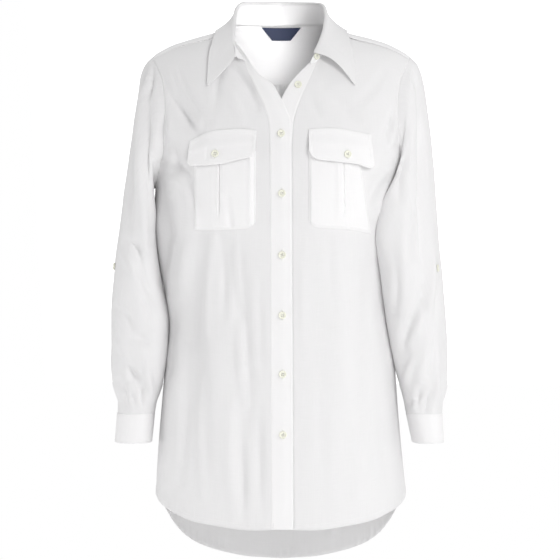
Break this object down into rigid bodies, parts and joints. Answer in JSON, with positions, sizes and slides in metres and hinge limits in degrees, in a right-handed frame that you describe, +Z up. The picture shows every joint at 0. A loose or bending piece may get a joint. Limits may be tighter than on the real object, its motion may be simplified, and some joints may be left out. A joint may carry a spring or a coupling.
{
  "type": "tunic shirt",
  "caption": "Long-sleeved linen tunic shirt with a folded collar, back yoke, flap chest pockets, buttoned front, buttoned cuffs and a curved hem that is longer behind.",
  "frame": {"origin": "middle of the neck base, level with the high points of the shoulders, where the wearer's neck and shoulders carry the shirt", "axes": "+X towards the wearer's left, -Y towards the buttoned front, +Z up towards the collar"},
  "size_m": [0.5017, 0.2915, 0.861],
  "materials": {
    "linen": "matte white linen in a plain weave with slubs",
    "label": "woven navy satin, blank",
    "buttons": "cream, softly glossy, with four holes"
  },
  "bodies": {
    "root": {"front_right": "linen", "front_left": "linen", "placket_right": "linen", "placket_left": "linen", "back": "linen", "yoke": "linen", "sleeve_right": "linen", "sleeve_left": "linen", "cuff_right": "linen", "cuff_left": "linen", "collar_stand": "linen", "collar_leaf": "linen", "pocket_right": "linen", "pocket_left": "linen", "pocket_flap_right": "linen", "pocket_flap_left": "linen", "neck_label": "label", "button_cuff_right": "buttons", "button_cuff_left": "buttons", "button_flap_right": "buttons", "button_flap_left": "buttons", "button_front_1": "buttons", "button_front_2": "buttons", "button_front_3": "buttons", "button_front_4": "buttons", "button_front_5": "buttons", "button_front_6": "buttons", "button_open": "buttons", "button_collar": "buttons", "button_tab_right": "buttons", "button_tab_left": "buttons"}
  },
  "joints": []
}
